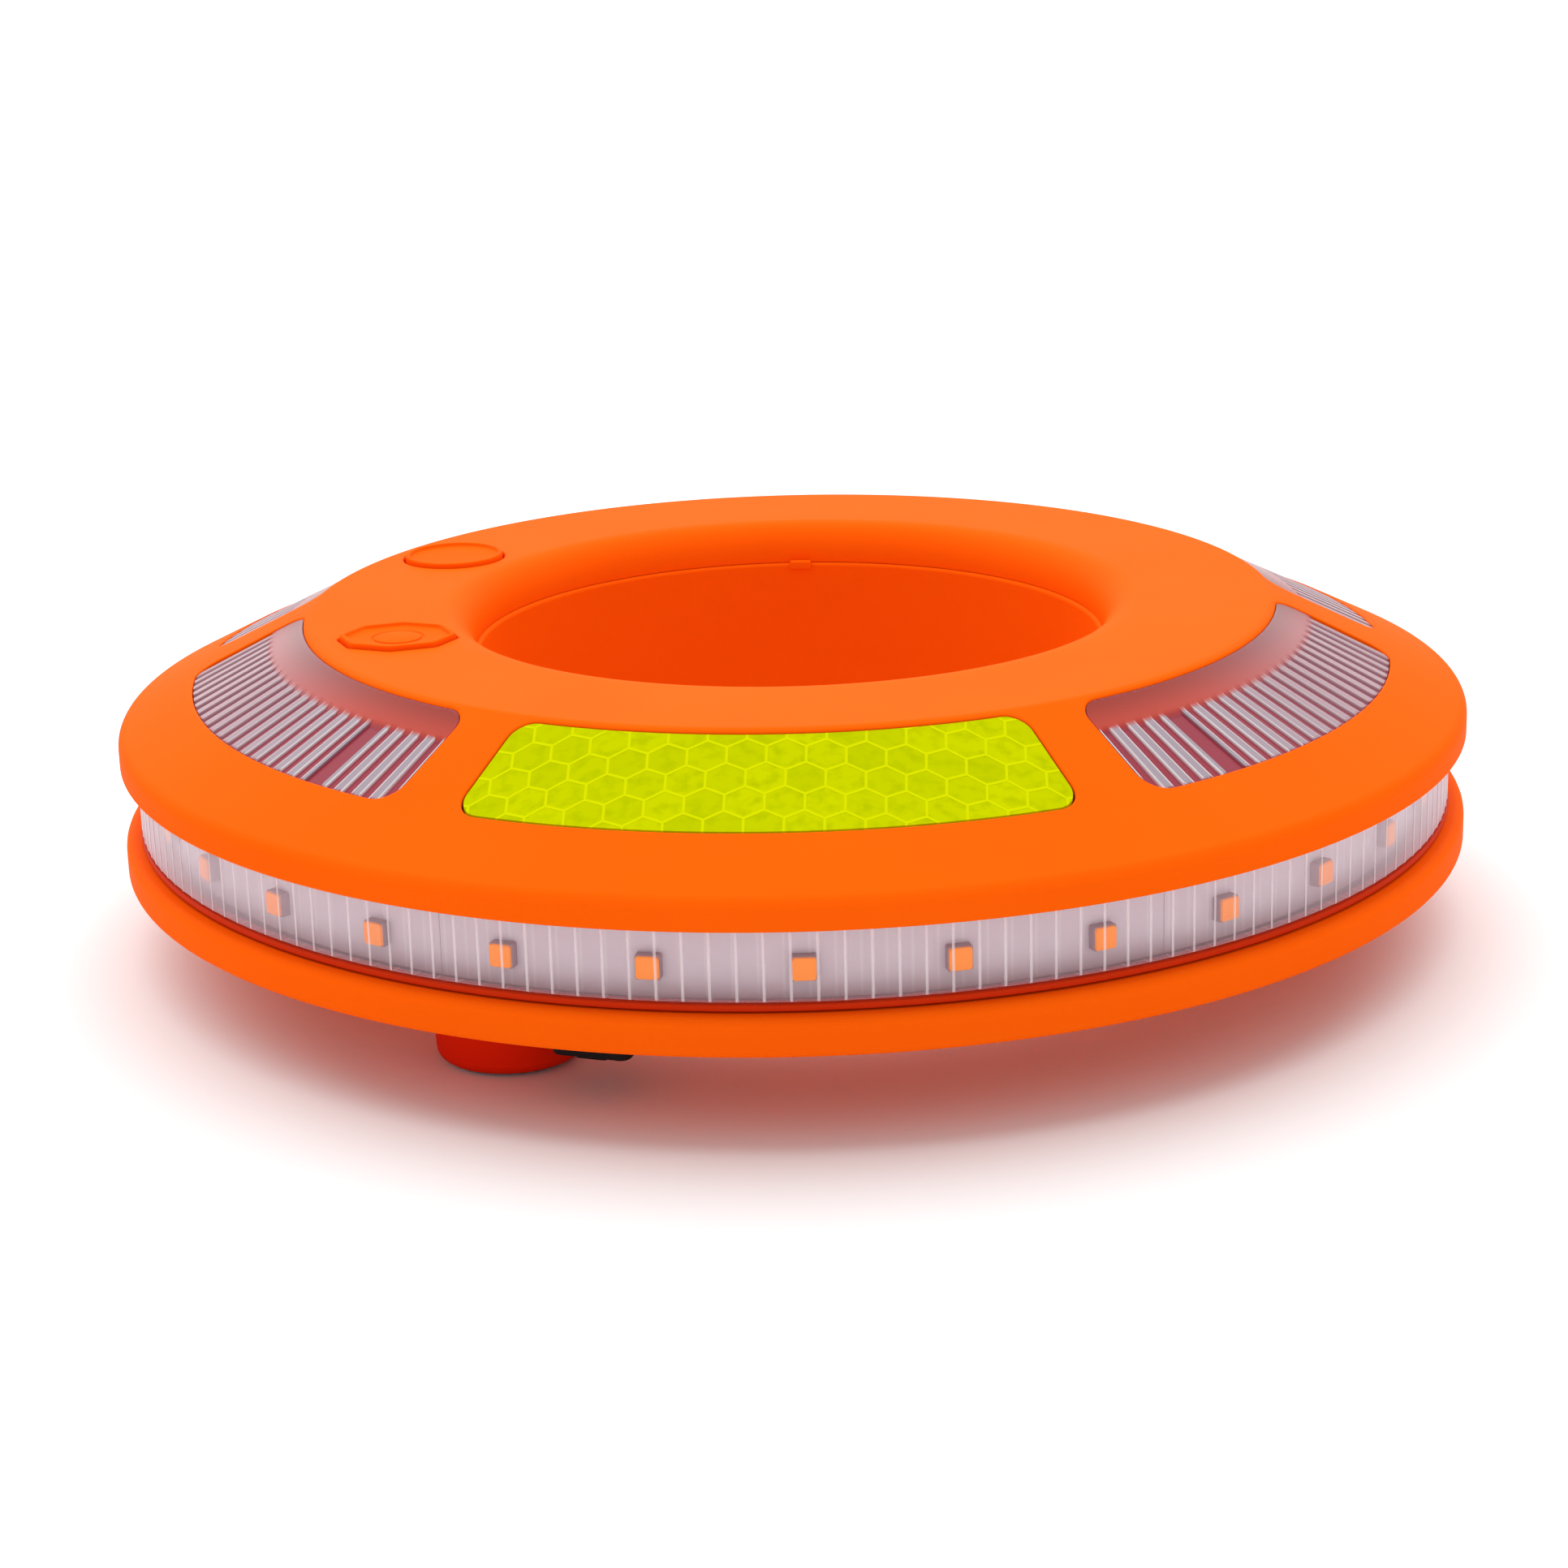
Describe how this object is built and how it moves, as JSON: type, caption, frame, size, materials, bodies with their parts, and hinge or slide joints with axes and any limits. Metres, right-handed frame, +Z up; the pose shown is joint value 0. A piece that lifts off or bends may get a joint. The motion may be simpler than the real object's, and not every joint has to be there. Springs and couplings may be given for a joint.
{
  "type": "cone-mounting ring warning light",
  "caption": "Ring-shaped amber warning light that drops over a traffic cone, with a ribbed light band round its side, sloping windows, round feet and push buttons.",
  "frame": {"origin": "on the ring's axis, in the plane of the foot pads", "axes": "+Z up along the ring's axis, -Y towards the front reflective window, +X to its right"},
  "size_m": [0.23, 0.23, 0.0558],
  "materials": {
    "orange_housing": "fine moulded grain",
    "orange_rubber": "soft matt overmould",
    "seal": "moulded silicone",
    "clear_lens": "clear moulded, ribbed",
    "window_tray": "satin moulded",
    "led_carrier": "satin moulded",
    "led_strip": "solder mask with amber lights",
    "reflective_sheet": "honeycomb reflective sheet",
    "reflector_plate": "moulded",
    "circuit_board": "solder mask",
    "switch": "moulded",
    "cell": "shrink wrap over a metal can",
    "cradle": "moulded",
    "magnet": "nickel plate",
    "screw": "zinc plate",
    "port": "drawn shell",
    "black_rubber": "matt moulded",
    "wire": "insulation"
  },
  "bodies": {
    "housing": {"base_housing": "orange_housing", "battery_cell_1": "cell", "battery_cell_2": "cell", "battery_cell_3": "cell", "battery_cradle_1": "cradle", "battery_cradle_2": "cradle", "battery_cradle_3": "cradle", "board_screw_1": "screw", "board_screw_2": "screw", "charge_port": "port", "cover_screw_1": "screw", "cover_screw_2": "screw", "cover_screw_3": "screw", "cover_screw_4": "screw", "cover_screw_5": "screw", "cover_screw_6": "screw", "flap_tab": "black_rubber", "foot_cup_1": "orange_rubber", "foot_cup_2": "orange_rubber", "foot_cup_3": "orange_rubber", "foot_magnet_1": "magnet", "foot_magnet_2": "magnet", "foot_magnet_3": "magnet", "foot_pad_1": "black_rubber", "foot_pad_2": "black_rubber", "foot_pad_3": "black_rubber", "foot_screw_1": "screw", "foot_screw_2": "screw", "foot_screw_3": "screw", "led_carrier": "led_carrier", "led_strip_1": "led_strip", "led_strip_2": "led_strip", "led_strip_3": "led_strip", "led_strip_4": "led_strip", "led_strip_5": "led_strip", "led_strip_6": "led_strip", "lower_seal": "seal", "main_board": "circuit_board", "mode_switch": "switch", "power_switch": "switch", "reflective_sheet_front": "reflective_sheet", "reflective_sheet_rear": "reflective_sheet", "reflector_plate_front": "reflector_plate", "reflector_plate_rear": "reflector_plate", "side_lens": "clear_lens", "top_cover": "orange_housing", "upper_seal": "seal", "window_lens_front_left": "clear_lens", "window_lens_front_right": "clear_lens", "window_lens_rear_left": "clear_lens", "window_lens_rear_right": "clear_lens", "window_tray_front_left": "window_tray", "window_tray_front_right": "window_tray", "window_tray_rear_left": "window_tray", "window_tray_rear_right": "window_tray", "wiring_loom": "wire"},
    "power_key": {"power_button": "orange_rubber"},
    "mode_key": {"mode_button": "orange_rubber"},
    "port_flap": {"charge_port_flap": "black_rubber"}
  },
  "joints": [
    {"name": "power_button_press", "type": "slide", "parent": "housing", "child": "power_key", "axis": [0, 0, -1], "range_m": [0, 0.0008], "stiffness_N_per_m": 1500, "springref_m": -0.0005},
    {"name": "mode_button_press", "type": "slide", "parent": "housing", "child": "mode_key", "axis": [0, 0, -1], "range_m": [0, 0.0008], "stiffness_N_per_m": 1500, "springref_m": -0.0005},
    {"name": "port_flap_hinge", "type": "hinge", "parent": "housing", "child": "port_flap", "pos_m": [-0.02457, -0.08294, 0.0089], "axis": [0.9588, -0.284, 0], "range_deg": [0, 95]}
  ]
}
